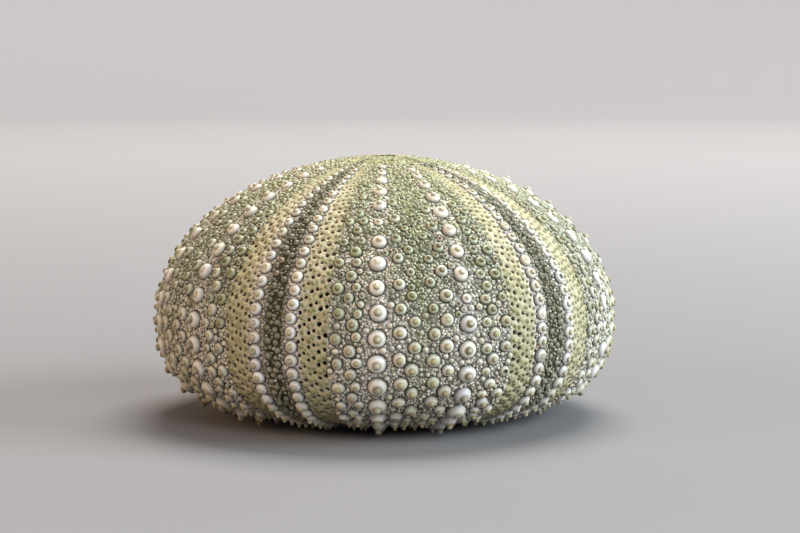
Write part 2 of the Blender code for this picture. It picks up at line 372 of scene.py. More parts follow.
def bead_rows():
    """Sector, side and place of every bead row, for what goes with the beads."""
    for sector, phase in enumerate(PHASES):
        for side, anchor in NARROW_ANCHORS:
            for place in row_places(anchor + phase, NARROW_STEP, PORE_START, NARROW_END):
                yield sector, side, place


class Crowd:
    """Round things already placed on the wall, for finding out how much room is left."""

    CELL = 0.0012

    def __init__(self):
        self.cells = {}

    def key(self, point):
        """The cell that a point is in."""
        return tuple(int(math.floor(c / self.CELL)) for c in point)

    def add(self, point, radius):
        """Note a round thing."""
        self.cells.setdefault(self.key(point), []).append((*point, radius))

    def room(self, point):
        """Distance from a point to the nearest thing's rim."""
        i, j, k = self.key(point)
        best = self.CELL
        for a in (i - 1, i, i + 1):
            for b in (j - 1, j, j + 1):
                for c in (k - 1, k, k + 1):
                    for x, y, z, radius in self.cells.get((a, b, c), ()):
                        gap = math.dist((x, y, z), point) - radius
                        if gap < best:
                            best = gap
        return best


def placed_knobs(wall, crowd):
    """Big knobs, beads and side knobs, each no wider than its room allows."""
    order = {"wide": 0, "narrow": 1, "side": 2}
    placed = []
    for kind, s, lon, width in sorted(knob_layout(), key=lambda k: (order[k[0]], -k[3])):
        angle = math.radians(lon)
        point = wall.point(s, angle, 0.0)
        radius = 0.5 * width
        room = crowd.room(point)
        if room < radius:
            if kind == "side" and room < ROOM_LEAST * radius:
                continue
            radius = max(room * ROOM_USED, ROOM_LEAST * radius)
        crowd.add(point, radius)
        placed.append((kind, s, angle, radius))
    return placed


def placed_pores(wall, crowd):
    """All pores as distance down the wall, longitude, radius and depth."""
    rng = random.Random(PORE_SEED)
    pores = []
    for sector, side, place in bead_rows():
        step = NARROW_STEP * np.interp(place, ROW_AT, ROW_STEP)
        for away, down, gap, radius in PORE_PAIRS:
            level = (place + down * step) * WALL_RADIUS + rng.gauss(0.0, 0.00003)
            if level > wall.s[-1] - PORE_EDGE:
                continue
            reach = float(wall.at(level, wall.r))
            narrow = min(1.0, reach / PORE_REACH)
            middle = math.radians(NARROW_CENTRE + SECTOR * sector + side * (away + rng.gauss(0.0, 0.08)))
            for end in (-1, 1):
                spread = side * end * gap * narrow * MM / reach
                drop = -end * PORE_DROP * MM * narrow
                size = radius * narrow * rng.uniform(0.88, 1.12) * MM
                depth = PORE_DEPTH * (SHUT_DEPTH if rng.random() < SHUT_SHARE else 1.0)
                pores.append((level + drop, middle + spread, size, depth))
    level = float(np.interp(DISC_PORE_AT, wall.r[:DISC_PART], wall.s[:DISC_PART]))
    for sector in range(SECTORS):
        pores.append((level, math.radians(WIDE_CENTRE + SECTOR * sector), DISC_PORE, PORE_DEPTH))
    for level, angle, size, _ in pores:
        crowd.add(wall.point(level, angle, 0.0), size * PORE_ROOM)
    return pores


def placed_bead_smalls(wall, crowd):
    """Small knobs of the narrow fields, set among the pores and between the beads."""
    rng = random.Random(BEAD_SEED)
    placed = []
    for sector, side, place in bead_rows():
        step = NARROW_STEP * np.interp(place, ROW_AT, ROW_STEP)
        for away, down, size in BEAD_SMALLS:
            level = (place + (down + rng.gauss(0.0, 0.05)) * step) * WALL_RADIUS
            if level > wall.s[-1] - SMALL_EDGE:
                continue
            reach = float(wall.at(level, wall.r))
            angle = math.radians(NARROW_CENTRE + SECTOR * sector + side * (away + rng.gauss(0.0, 0.12)))
            radius = size * MM * min(1.0, reach / SMALL_REACH) * rng.uniform(0.85, 1.12)
            point = wall.point(level, angle, 0.0)
            kind = "pore" if PORE_KNOBS_IN[0] < away < PORE_KNOBS_IN[1] else "small"
            room = crowd.room(point)
            if room < SMALL_ROOM_LEAST * radius:
                continue
            radius = min(radius, room)
            crowd.add(point, radius)
            placed.append((kind, level, angle, radius))
    for sector in range(SECTORS):
        for away, share, size in DISC_SMALLS:
            angle = math.radians(WIDE_CENTRE + SECTOR * sector + away)
            level = TOP_RADIUS + share * (DISC_RADIUS - TOP_RADIUS)
            radius = size * MM * rng.uniform(0.85, 1.1)
            crowd.add(wall.point(level, angle, 0.0), radius)
            placed.append(("small", level, angle, radius))
    return placed


def field_of(lon):
    """Degrees from the middle of the nearest narrow field, and from the nearest wide field's middle."""
    degrees, half = np.degrees(lon), SECTOR / 2.0
    narrow = np.abs((degrees - NARROW_CENTRE + half) % SECTOR - half)
    wide = np.abs((degrees - WIDE_CENTRE + half) % SECTOR - half)
    return narrow, wide


def scattered(wall, crowd, rng, kind, low, high, tries, pore_share, overlap):
    """Round things thrown on wherever there is room, few of them among the pores and at the top."""
    area = np.concatenate([[0.0], np.cumsum(0.5 * (wall.r[1:] + wall.r[:-1]) * np.diff(wall.s))])
    placed = []
    for _ in range(tries):
        s = float(np.interp(rng.random() * area[-1], area, wall.s))
        lon = rng.uniform(0.0, TURN)
        narrow = field_of(lon)[0]
        if SPARSE_FIELD[0] < narrow < SPARSE_FIELD[1] and rng.random() > pore_share:
            continue
        if s < SPARSE_TOP * WALL_RADIUS and rng.random() > TOP_KEPT:
            continue
        if not wall.s[0] + high < s < wall.s[-1] - high:
            continue
        point = wall.point(s, lon, 0.0)
        room = crowd.room(point) + overlap
        if room < low:
            continue
        radius = min(room, rng.uniform(low, high))
        crowd.add(point, radius)
        placed.append((kind, s, lon, radius))
    return placed


def new_object(name, data):
    """A new object in the scene."""
    item = bpy.data.objects.new(name, data)
    bpy.context.scene.collection.objects.link(item)
    return item


def mesh_piece(name, points, faces, tint, pebbly=None):
    """A smooth piece riding on the shell, with a colour and a share of fine pebbles for each point."""
    mesh = bpy.data.meshes.new(name)
    mesh.vertices.add(len(points))
    mesh.vertices.foreach_set("co", points.astype(np.float32).ravel())
    mesh.loops.add(3 * len(faces))
    mesh.loops.foreach_set("vertex_index", faces.astype(np.int32).ravel())
    mesh.polygons.add(len(faces))
    mesh.polygons.foreach_set("loop_start", np.arange(0, 3 * len(faces), 3, dtype=np.int32))
    mesh.update(calc_edges=True)
    colours = mesh.attributes.new("tint", "FLOAT_COLOR", "POINT")
    full = np.ones((len(points), 4), dtype=np.float32)
    full[:, :3] = tint
    colours.data.foreach_set("color", full.ravel())
    if pebbly is not None:
        shares = mesh.attributes.new("pebbly", "FLOAT", "POINT")
        shares.data.foreach_set("value", pebbly.astype(np.float32))
    mesh.validate()
    mesh.shade_smooth()
    piece = new_object(name, mesh)
    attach(piece, "root")
    return piece


def sheet_faces(flat, top_count, mouth_count):
    """Triangles over points of the flat map whose first points are the two edge rings."""
    edges = [(i, (i + 1) % top_count) for i in range(top_count)]
    edges += [(top_count + i, top_count + (i + 1) % mouth_count) for i in range(mouth_count)]
    result = delaunay_2d_cdt(flat.tolist(), edges, [], 0, 1e-7)
    source = np.array([group[0] for group in result[3]])
    faces = source[np.array(result[2])]
    return faces[~np.all(faces < top_count, axis=1)]


def level_ring(level, count, start=0.0):
    """Even places all round the wall at one level."""
    return np.stack([np.full(count, level), TURN * (np.arange(count) + start) / count], -1)


def ring_places(wall, s, lon, radius, shares, count, start=0.0):
    """Places on rings round a spot of the wall."""
    turn = TURN * (np.arange(count) + start) / count
    places = []
    for k, share in enumerate(shares):
        spin = turn + (math.pi / count) * (k % 2)
        level = s + share * radius * np.cos(spin)
        reach = wall.at(level, wall.r)
        places.append(np.stack([level, lon + share * radius * np.sin(spin) / reach], axis=-1))
    return np.concatenate(places)


def wall_places(wall, knobs, pores):
    """Places of the wall's points: the edges, rings round knobs and pores, and plain ones between."""
    rng = np.random.default_rng(WALL_SEED)
    top, mouth = level_ring(wall.s[0], TOP_POINTS), level_ring(wall.s[-1], MOUTH_POINTS)
    rings = []
    for _, s, lon, radius in knobs:
        shares, count = next(ring[1:] for ring in KNOB_RINGS if radius > ring[0])
        rings.append(ring_places(wall, s, lon, radius, shares, count))
    for s, lon, radius, _ in pores:
        for share, start in PORE_RINGS:
            rings.append(ring_places(wall, s, lon, radius, (share,), PORE_RING_POINTS, start))
        rings.append(np.array([[s, lon]]))
    plain = []
    s = wall.s[0] + 0.0003
    row = 0
    while s < wall.s[-1] - 0.0002:
        step = DISC_SPACING if s < DISC_RADIUS * 1.05 else WALL_SPACING
        reach = wall.at(s, wall.r)
        count = int(TURN * float(reach) / step)
        spread = rng.normal(0.0, UNEVEN, (2, count)) * step
        plain.append(level_ring(s, count, 0.5 * (row % 2)) + np.stack([spread[0], spread[1] / reach], -1))
        s += 0.87 * step
        row += 1
    inner = np.concatenate(rings + plain)
    keep = (inner[:, 0] > wall.s[0] + EDGE_FREE) & (inner[:, 0] < wall.s[-1] - EDGE_FREE)
    return np.concatenate([top, mouth, inner[keep]])


def wall_relief(wall, places, knobs, pores):
    """Height above the plain wall, and shares of groove darkening (partly painted shade) and plate seams,
    painted pore shadow, rim, halo and pore lip, by place.
    """
    order = np.argsort(places[:, 0])
    s, lon = places[order, 0], places[order, 1]
    reach = wall.at(s, wall.r)
    hollow, rim, dark, pore_shadow, pale, halo, lip = np.zeros((7, len(s)))

    def near(level, angle, radius, most):
        """Slice of the places near a round thing, and their distances as shares of its radius."""
        first, last = np.searchsorted(s, (level - most * radius, level + most * radius))
        part = slice(first, last)
        turn = (lon[part] - angle + math.pi) % TURN - math.pi
        return part, np.hypot(s[part] - level, turn * reach[part]) / radius

    def lift_to(column, part, values):
        """Raise a part of a column to values where they are higher."""
        column[part] = np.maximum(column[part], values)

    for kind, level, angle, radius in knobs:
        part, share = near(level, angle, radius, 2.0)
        depth = 0.10 * radius + (0.00003 if radius > 0.0003 else 0.00001)
        edge = bell(share, 1.30, 0.10)
        lift_to(hollow, part, depth * smooth_fall(1.08, 1.26, share))
        lift_to(rim, part, 0.035 * radius * edge)
        # Dark ring in the groove round the knob: partly its own colour, partly painted shade
        lift_to(dark, part, smooth_fall(1.06, 1.22, share))
        lift_to(pale, part, edge * min(1.0, radius / 0.0006))
        if kind in ("wide", "narrow"):
            lift_to(halo, part, smooth_step(1.10, 1.24, share) * smooth_fall(1.40, 1.75, share))
    for level, angle, radius, depth in pores:
        part, share = near(level, angle, radius, 2.2)
        lift_to(hollow, part, depth * smooth_fall(0.74, 1.0, share))
        lift_to(rim, part, 0.00005 * bell(share, 1.3, 0.30))
        # Painted shadow in the pore, weaker where the pore is shallower
        lift_to(pore_shadow, part, smooth_fall(0.98, 1.14, share) * min(1.0, depth / PORE_DEPTH))
        lift_to(lip, part, bell(share, 1.20, 0.45))
    narrow, wide = field_of(lon)
    disc = smooth_fall(DISC_RADIUS, DISC_RADIUS + 0.0004, s)
    seam_turn = np.minimum(np.abs(wide - 27.0), np.abs(narrow - 9.0)) * math.pi / 180.0 * reach
    seam = np.maximum(disc * bell(seam_turn, 0.0, 0.00012), bell(s, DISC_RADIUS, 0.00014))
    height = rim * (hollow < 1e-6) - hollow - 0.00008 * seam + 0.00012 * disc
    out = np.empty((len(s), 6))
    out[order] = np.stack([height, np.maximum(dark, 0.6 * seam), pore_shadow, pale, halo, lip], -1)
    return out.T


def ripple(points, size, seed):
    """Slow even noise from 0 to 1 over points, made of a few seeded waves."""
    rng = np.random.default_rng(seed)
    total = np.zeros(len(points))
    for _ in range(9):
        direction = rng.normal(0.0, 1.0, 3)
        direction /= np.linalg.norm(direction)
        waves = TURN / (size * rng.uniform(0.6, 1.6))
        total += np.sin(points @ direction * waves + rng.uniform(0, 6.3))
    return np.clip(0.5 + total / 6.0, 0.0, 1.0)


def wall_tint(s, lon, points, relief):
    """Colour of the bare wall and its share of fine pebbles."""
    dark, pore_shadow, pale, halo, lip = relief
    narrow, wide = field_of(lon)
    level = s / WALL_RADIUS
    low = smooth_step(*LOW_LEVELS, level)
    high = smooth_fall(*HIGH_LEVELS, level)
    green = 0.50 + 0.35 * ripple(points, 0.0012, 1) + 0.15 * low
    tint = blend(GAP, GREY_GREEN, green)
    tint = blend(tint, PINK_GREY, 0.28 * ripple(points, 0.0024, 5))
    seam = bell(wide, 0.0, 2.8) * (1.0 - 0.7 * smooth_step(1.30, 1.60, level))
    tint = blend(tint, SUTURE, 0.65 * seam)
    tint = blend(tint, PINK_GREY, 0.55 * low)
    tint = blend(tint, HIGH_GREEN, 0.60 * high)
    pore_base = blend(PORE_GREEN, PORE_CREAM, 0.22 + 0.50 * ripple(points, 0.0009, 2))
    pore_base = blend(pore_base, blend(PORE_CREAM, HALO, 0.2), 0.62 * lip)
    tint = blend(tint, pore_base, smooth_step(*PORES_FROM, narrow) * smooth_fall(*PORES_TO, narrow))
    tint = blend(tint, DARK_BAND * 0.85, smooth_fall(*DARK_MIDDLE, narrow))
    tint = blend(tint, CREAM * 0.92, 0.80 * bell(narrow, RIDGE_AT, RIDGE_WIDTH))
    tint = blend(tint, PORE_GREEN, 0.35 * smooth_fall(0.30, 0.80, level))
    tint = blend(tint, HALO * 0.9, 0.50 * pale)
    # Darker in the grooves round the knobs, partly their own colour and partly painted shade, and along
    # the plate seams; less so near the top
    tint = blend(tint, GAP * 0.40, 0.90 * dark * (1.0 - 0.40 * high))
    tint = blend(tint, HALO * 0.92, 0.75 * halo)
    among_pores = smooth_step(*PORES_FROM, narrow) * smooth_fall(13.4, 14.6, narrow)
    pebbly = (1.0 - 0.85 * among_pores) * (1.0 - dark)
    # Pores are painted dark as shadow and get no pebbles
    return blend(tint, PORE_SHADOW, pore_shadow), pebbly * (1.0 - pore_shadow)


def build_wall(lift, outer, knobs, pores):
    """The thin wall itself, with grooves round its knobs and its pores."""
    places = wall_places(outer, knobs, pores)
    relief = wall_relief(outer, places, knobs, pores)
    s, lon = places.T
    points = outer.point(s, lon, relief[0])
    tint, pebbly = wall_tint(s, lon, points, relief[1:])
    tint[:TOP_POINTS] = HIGH_GREEN
    pebbly[:TOP_POINTS] = 0.0
    faces = sheet_faces(outer.flat(s, lon), TOP_POINTS, MOUTH_POINTS)
    inner = Wall(-WALL, lift)
    in_rings = [level_ring(inner.s[0], TOP_POINTS), level_ring(inner.s[-1], MOUTH_POINTS)]
    for k in range(INNER_RINGS):
        level = inner.s[0] + (k + 1.0) / (INNER_RINGS + 1.0) * (inner.s[-1] - inner.s[0])
        in_rings.append(level_ring(level, INNER_POINTS, 0.5 * (k % 2)))
    in_places = np.concatenate(in_rings)
    in_points = inner.point(in_places[:, 0], in_places[:, 1], 0.0)
    in_faces = sheet_faces(inner.flat(*in_places.T), TOP_POINTS, MOUTH_POINTS)
    base = len(points)
    all_faces = [faces, in_faces[:, ::-1] + base]
    for first, count, flip in ((0, TOP_POINTS, False), (TOP_POINTS, MOUTH_POINTS, True)):
        a = first + np.arange(count)
        b = first + (np.arange(count) + 1) % count
        lip = np.concatenate([np.stack([a, b, b + base], -1), np.stack([a, b + base, a + base], -1)])
        all_faces.append(lip if flip else lip[:, ::-1])
    used = np.unique(np.concatenate(all_faces))
    fresh = np.full(base + len(in_points), -1)
    fresh[used] = np.arange(len(used))
    in_tint = np.tile(INSIDE, (len(in_points), 1))
    all_points = np.concatenate([points, in_points])[used]
    all_tint = np.concatenate([tint, in_tint])[used]
    all_pebbly = np.concatenate([pebbly, np.zeros(len(in_points))])[used]
    return mesh_piece("wall", all_points, fresh[np.concatenate(all_faces)], all_tint, all_pebbly)


def turned(wall, items, profile, count, tints, rng):
    """Points, faces and colours of turned bodies, from place, longitude, radius and height."""
    s, lon, radius, height = (np.array(column) for column in zip(*items))
    out, down, round_it = wall.axes(s, lon)
    centre = wall.point(s, lon, 0.0)
    shares = np.array(profile)
    rings = len(shares) - 1
    turn = TURN * np.arange(count) / count
    squeeze = rng.normal(0.0, 0.035, (len(s), 1, 1))
    lean = rng.normal(0.0, 0.05, (len(s), 2))
    ring_r = shares[:rings, 0][None, :, None] * radius[:, None, None]
    along = ring_r * np.cos(turn) * (1.0 + squeeze)
    around = ring_r * np.sin(turn) * (1.0 - squeeze)
    rise = np.clip(shares[:, 1], 0.0, None)[None, :] * height[:, None]
    body = centre[:, None, None, :] + along[..., None] * down[:, None, None, :]
    body = body + around[..., None] * round_it[:, None, None, :]
    stand = (shares[:rings, 1][None, :] * height[:, None])[..., None, None] * out[:, None, None, :]
    body = body + stand
    lean_move = lean[:, 0, None] * down + lean[:, 1, None] * round_it
    body = body + (rise[:, :rings, None] * lean_move[:, None, :])[:, :, None, :]
    tip = centre + height[:, None] * shares[-1, 1] * out + rise[:, -1:] * lean_move
    per = rings * count + 1
    points = np.concatenate([body.reshape(len(s), -1, 3), tip[:, None, :]], axis=1).reshape(-1, 3)
    ring = np.arange(count)
    following = (ring + 1) % count
    faces = []
    for k in range(rings - 1):
        a, b = k * count + ring, k * count + following
        faces.append(np.stack([a, b, b + count], -1))
        faces.append(np.stack([a, b + count, a + count], -1))
    last = (rings - 1) * count
    faces.append(np.stack([last + ring, last + following, np.full(count, per - 1)], -1))
    one = np.concatenate(faces)
    all_faces = (one[None] + per * np.arange(len(s))[:, None, None]).reshape(-1, 3)
    ring_tint = np.repeat(tints[:, :rings, :], count, axis=1)
    colours = np.concatenate([ring_tint, tints[:, rings:, :]], axis=1).reshape(-1, 3)
    return points, all_faces, colours


def knob_tints(wall, items, profile, kind, rng):
    """Colours of knobs from foot to tip, by their field, level and a little chance."""
    s, lon = (np.array(column) for column in list(zip(*items))[:2])
    number = len(s)

    def toss():
        """A random share for every knob."""
        return rng.random(number)

    points = wall.point(s, lon, 0.0)
    level = s / WALL_RADIUS
    narrow, wide = field_of(lon)
    in_middle = narrow < MIDDLE_KNOBS
    share = np.array([p[0] for p in profile])
    upper = smooth_fall(*UPPER_LEVELS, level + rng.normal(0.0, 0.08, number))
    outer = smooth_step(14.0, 20.0, wide) * smooth_fall(1.35, 1.60, level)
    high = smooth_fall(*HIGH_LEVELS, level)
    high_sides = high * (narrow > MIDDLE_KNOBS)
    chance = toss()
    if kind in ("wide", "narrow"):
        boss = blend(CREAM, COOL_WHITE, toss())
        pink = 0.10 + 0.35 * toss() + 0.15 * smooth_step(1.3, 1.7, level)
        boss = blend(boss, PINK_GREY, pink)
        boss = blend(boss, blend(CREAM, TAN, 0.5), 0.45 * smooth_fall(0.70, 1.25, level))
        tip = blend(TAN * 0.88, OLIVE_TAN, 0.80 * chance if kind == "narrow" else 0.50 * chance)
        faint = 0.25 * smooth_step(1.30, 1.10, level) if kind == "wide" else 0.0
        tip = blend(tip, boss, 0.05 + 0.30 * toss() + faint)
        dull = smooth_step(1.12, 1.35, level) if kind == "wide" else 0.35
        tip = blend(tip, OLIVE, dull * (0.10 + 0.65 * toss()))
    elif kind == "side":
        green = 0.10 + 0.75 * upper * (0.6 + 0.4 * chance) + 0.12 * chance + 0.35 * outer
        boss = blend(blend(CREAM, COOL_WHITE, 0.4), GREY_GREEN, np.clip(green, 0.0, 0.95))
        boss = blend(boss, SUTURE, 0.40 * bell(wide, 0.0, 4.0))
        boss = blend(boss, OLIVE_TAN, 0.45 * outer * toss())
        tip = blend(TAN * 0.85, OLIVE, np.clip(0.10 + 0.90 * upper + 0.4 * outer * chance, 0.0, 1.0))
        tip = blend(tip, DARK_OLIVE, 0.35 * upper * toss())
        boss = blend(boss, HIGH_GREEN, 0.45 * high)
        tip = blend(tip, OLIVE_TAN, 0.55 * high)
    elif kind == "pore":
        boss = blend(PORE_GREEN * 0.96, PORE_CREAM, 0.35 * chance)
        tip = blend(boss, PORE_GREEN * 0.80, 0.50 + 0.40 * toss())
    elif kind == "small":
        pale = 0.06 + 0.74 * (1.0 - upper) * toss() ** 0.5
        boss = blend(GREY_GREEN * 0.92, CREAM, pale)
        boss = blend(boss, PINK_GREY, 0.40 * (1.0 - upper) + 0.22 * upper * toss())
        boss = blend(boss, PORE_CREAM, 0.6 * ((narrow > 6.0) & (narrow < 14.5)))
        boss = blend(boss, BAND_KNOB, 0.90 * in_middle)
        tip = blend(CREAM, TAN, 0.6 * toss())
        dark_tip = blend(DARK_OLIVE, OLIVE, 0.6 * toss())
        tip = blend(tip, dark_tip, np.clip(upper * 1.1 + 0.10, 0.0, 1.0))
        tip = blend(tip, BAND_KNOB * 0.8, 0.8 * in_middle)
        boss = blend(boss, HIGH_GREEN, 0.50 * high_sides)
        tip = blend(tip, OLIVE_TAN, 0.55 * high_sides)
    else:
        pale = 0.35 + 0.55 * toss() * (1.0 - 0.5 * upper)
        boss = blend(GREY_GREEN, CREAM, pale)
        boss = blend(boss, PINK_GREY, 0.08 + 0.50 * (1.0 - upper))
        boss = blend(boss, PORE_CREAM, 0.8 * ((narrow > 6.0) & (narrow < 14.0)))
        boss = blend(boss, BAND_KNOB * 1.15, 0.80 * in_middle * (toss() < 0.85))
        boss = blend(boss, SUTURE * 1.1, 0.45 * bell(wide, 0.0, 2.6))
        boss = blend(boss, HIGH_GREEN * 1.1, 0.40 * high_sides)
        tip = blend(boss, DARK_OLIVE, 0.85 * upper * (1.0 - 0.6 * high) * (toss() < 0.45))
    # Rim of the boss: paler on pore knobs; on the others darker, partly their own duller edge and partly
    # painted shade on the steep lower flank
    rim = blend(boss, PORE_CREAM, 0.45) if kind == "pore" else boss * RIM_SHADE[kind]
    if kind in ("small", "grain"):
        common = 0.1 if kind == "small" else 0.5
        speck = (ripple(points, 0.0030, 17) > 0.97) & (toss() < common)
        boss = blend(boss, RUST, 0.7 * speck)
    tints = blend(boss[:, None], rim[:, None], smooth_step(0.66, 1.0, share))
    edge = CROWN_END.get(kind, CROWN_USUAL)
    tints = blend(tints, tip[:, None], smooth_fall(edge - 0.10, edge + 0.16, share))
    # Painted shade in a ring round the tip's neck, and a painted highlight on its top
    if kind in TIP_SHARE:
        tints = tints * (1.0 - 0.28 * bell(share, TIP_SHARE[kind], 0.06))[:, None]
        tints = blend(tints, boss[:, None], 0.45 * bell(share, 0.0, 0.22))
    # Painted shade at the foot, where the knob meets the wall
    depth = PORE_KNOB_FOOT_SHADE if kind == "pore" else FOOT_SHADE
    tints = blend(tints, GAP * 0.7, depth * smooth_step(0.93, 1.02, share))
    return tints * rng.normal(1.0, 0.05, (number, 1, 1))


def crowned(profile, share):
    """Profile whose tip and neck are moved out to a share of the knob's radius, with the foot kept."""
    old = (0.0, 0.385, 0.42, 0.64, 1.03)
    new = (0.0, share, share + 0.035, max(0.64, share + 0.2), 1.03)
    return tuple((float(np.interp(r, old, new)), h) for r, h in profile)


def knob_piece(name, wall, knobs, groups, seed):
    """One piece of many knobs of one kind; groups give a least radius, a profile and the points round."""
    rng = np.random.default_rng(seed)
    kind = knobs[0][0]
    batches = []
    most = 1.0
    for least, profile, count in groups:
        chosen = [k for k in knobs if least <= k[3] < most]
        most = least
        shapes = [profile]
        if profile is KNOB_PROFILE:
            round_ones = (KNOB_PROFILE, WORN_PROFILE, PITTED_PROFILE)
            shapes = [crowned(shape, TIP_SHARE[kind]) for shape in round_ones] + [CONE_PROFILE]
        sorted_out = [[] for _ in shapes]
        for knob in chosen:
            pick = rng.random()
            index = 0 if pick < SOUND_SHARE or len(shapes) == 1 else 1 if pick < PITTED_FROM else 2
            taller = float(np.interp(knob[1] / WALL_RADIUS, TALL_AT, TALL))
            if taller > CONE_FROM and len(shapes) > 1:
                index = 3
            share = HEIGHT_SHARE[kind] * taller * rng.uniform(0.92, 1.06)
            sorted_out[index].append((knob[1], knob[2], knob[3], 2.0 * knob[3] * share))
        for index, items in enumerate(sorted_out):
            if items:
                colour = knob_tints(wall, items, shapes[index], kind, rng)
                # Painted shade inside the pit
                if index == 2:
                    colour[:, -PIT_RINGS:, :] *= PIT_PAINTED_SHADE
                batches.append(turned(wall, items, shapes[index], count, colour, rng))
    starts = np.cumsum([0] + [len(batch[0]) for batch in batches])
    points = np.concatenate([batch[0] for batch in batches])
    points[:, 2] = np.maximum(points[:, 2], 0.0)
    faces = np.concatenate([batch[1] + start for batch, start in zip(batches, starts)])
    return mesh_piece(name, points, faces, np.concatenate([batch[2] for batch in batches]))


def add_node(material, kind, values=()):
    """A new node with values for some of its inputs."""
    node = material.node_tree.nodes.new(kind)
    for name, value in dict(values).items():
        node.inputs[name].default_value = value
    return node


def add_ramp(material, stops):
    """A colour ramp with its stops given as place and colour."""
    node = add_node(material, "ShaderNodeValToRGB")
    elements = node.color_ramp.elements
    while len(elements) < len(stops):
        elements.new(0.5)
    for element, (where, colour) in zip(elements, stops):
        element.position = where
        element.color = (*colour, 1.0)
    return node


def add_product(material):
    """A node that multiplies two colours."""
    node = add_node(material, "ShaderNodeMix")
    node.data_type = "RGBA"
    node.blend_type = "MULTIPLY"
    return node


def join(material, *wires):
    """Wires between nodes, each given as a node, its output, the next node and its input."""
    for source, output, target, entry in wires:
        material.node_tree.links.new(source.outputs[output], target.inputs[entry])


def chalk(name, roughness, fine, mottle, bump, gloss_level, pebbles=0.0):
    """Chalky or waxy surface: the piece's colours, broken up by two sizes of noise and fine pebbles."""
    material = bpy.data.materials.new(name)
    material.use_nodes = True
    surface = material.node_tree.nodes["Principled BSDF"]
    surface.inputs["Specular IOR Level"].default_value = gloss_level
    tint = add_node(material, "ShaderNodeAttribute")
    tint.attribute_name = "tint"
    place = add_node(material, "ShaderNodeTexCoord")
    grain = add_node(material, "ShaderNodeTexNoise", {"Scale": fine, "Detail": 3.0})
    cloud = add_node(material, "ShaderNodeTexNoise", {"Scale": mottle, "Detail": 4.0})
    spread = add_node(material, "ShaderNodeMapRange", {"To Min": 0.72, "To Max": 1.22})
    stain = add_ramp(material, ((0.40, (0.86, 0.85, 0.76)), (0.62, (1.0, 1.0, 1.0))))
    first = add_node(material, "ShaderNodeVectorMath")
    first.operation = "SCALE"
    second = add_product(material)
    second.inputs["Factor"].default_value = 1.0
    ends = {"To Min": roughness - 0.10, "To Max": roughness + 0.12}
    gloss = add_node(material, "ShaderNodeMapRange", ends)
    lumps = add_node(material, "ShaderNodeBump", {"Strength": bump, "Distance": 0.00004})
    join(
        material,
        (place, "Object", grain, "Vector"), (place, "Object", cloud, "Vector"),
        (grain, "Fac", spread, "Value"), (tint, "Color", first, 0), (spread, "Result", first, "Scale"),
        (cloud, "Fac", stain, "Fac"), (first, "Vector", second, "A"), (stain, "Color", second, "B"),
        (second, "Result", surface, "Base Color"),
        (cloud, "Fac", gloss, "Value"), (gloss, "Result", surface, "Roughness"),
        (grain, "Fac", lumps, "Height"), (lumps, "Normal", surface, "Normal"),
    )
    if pebbles:
        add_pebbles(material, place, second, surface, lumps, pebbles)
    return material


def add_pebbles(material, place, colour, surface, lumps, size):
    """Fine pebbles between the knobs, where the piece asks for them: bumps for their round tops, a
    painted highlight on the tops and painted shade in the gaps.
    """
    share = add_node(material, "ShaderNodeAttribute")
    share.attribute_name = "pebbly"
    cells = add_node(material, "ShaderNodeTexVoronoi", {"Scale": 1.0 / size, "Randomness": 0.85})
    # Painted highlight on the pebbles' tops and painted shade in the gaps between them
    tone = add_ramp(material, ((0.22, (1.90, 1.87, 1.80)), (0.62, (0.30, 0.30, 0.28))))
    ends = {"From Min": 0.15, "From Max": 0.70, "To Min": 1.0, "To Max": 0.0}
    top = add_node(material, "ShaderNodeMapRange", ends)
    rise = add_node(material, "ShaderNodeMath")
    rise.operation = "MULTIPLY"
    mix = add_product(material)
    round_tops = add_node(material, "ShaderNodeBump", {"Strength": 0.9, "Distance": 0.00010})
    join(
        material,
        (place, "Object", cells, "Vector"),
        (cells, "Distance", tone, "Fac"), (cells, "Distance", top, "Value"),
        (share, "Fac", mix, "Factor"), (colour, "Result", mix, "A"), (tone, "Color", mix, "B"),
        (mix, "Result", surface, "Base Color"),
        (top, "Result", rise, 0), (share, "Fac", rise, 1), (rise, "Value", round_tops, "Height"),
        (lumps, "Normal", round_tops, "Normal"), (round_tops, "Normal", surface, "Normal"),
    )


# Surfaces: roughness, scales of the fine and the slow noise, bumps, gloss and size of pebbles
SKINS = {
    "wall": (0.66, 5200.0, 420.0, 0.6, 0.12, 0.00026),
    "knob": (0.42, 4200.0, 700.0, 0.25, 0.40),
    "grain": (0.45, 6000.0, 700.0, 0.2, 0.40),
}

# Pieces: name, kind, seed, surface, and groups by least radius, each with a profile and points round
PIECES = (
    ("big_knobs", "wide", 31, "knob", ((0.0, KNOB_PROFILE, 18),)),
    ("beads", "narrow", 32, "knob", ((0.0, KNOB_PROFILE, 13),)),
    ("side_knobs", "side", 33, "knob", ((0.00045, KNOB_PROFILE, 11), (0.0, KNOB_PROFILE, 9))),
    ("pore_knobs", "pore", 34, "grain", ((0.0, SOFT_PROFILE, 8),)),
    ("small_knobs", "small", 35, "grain", ((0.00025, SMALL_PROFILE, 8), (0.0, BUMP_PROFILE, 6))),
    ("grains", "grain", 41, "grain", ((0.0, GRAIN_PROFILE, 5),)),
    ("specks", "speck", 42, "grain", ((0.0, SPECK_PROFILE, 5),)),
)


def wall_lift():
    """Height of the wall's widest level above the floor."""
    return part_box("shell")[1].z - wall_profile(0.0)[2][0]


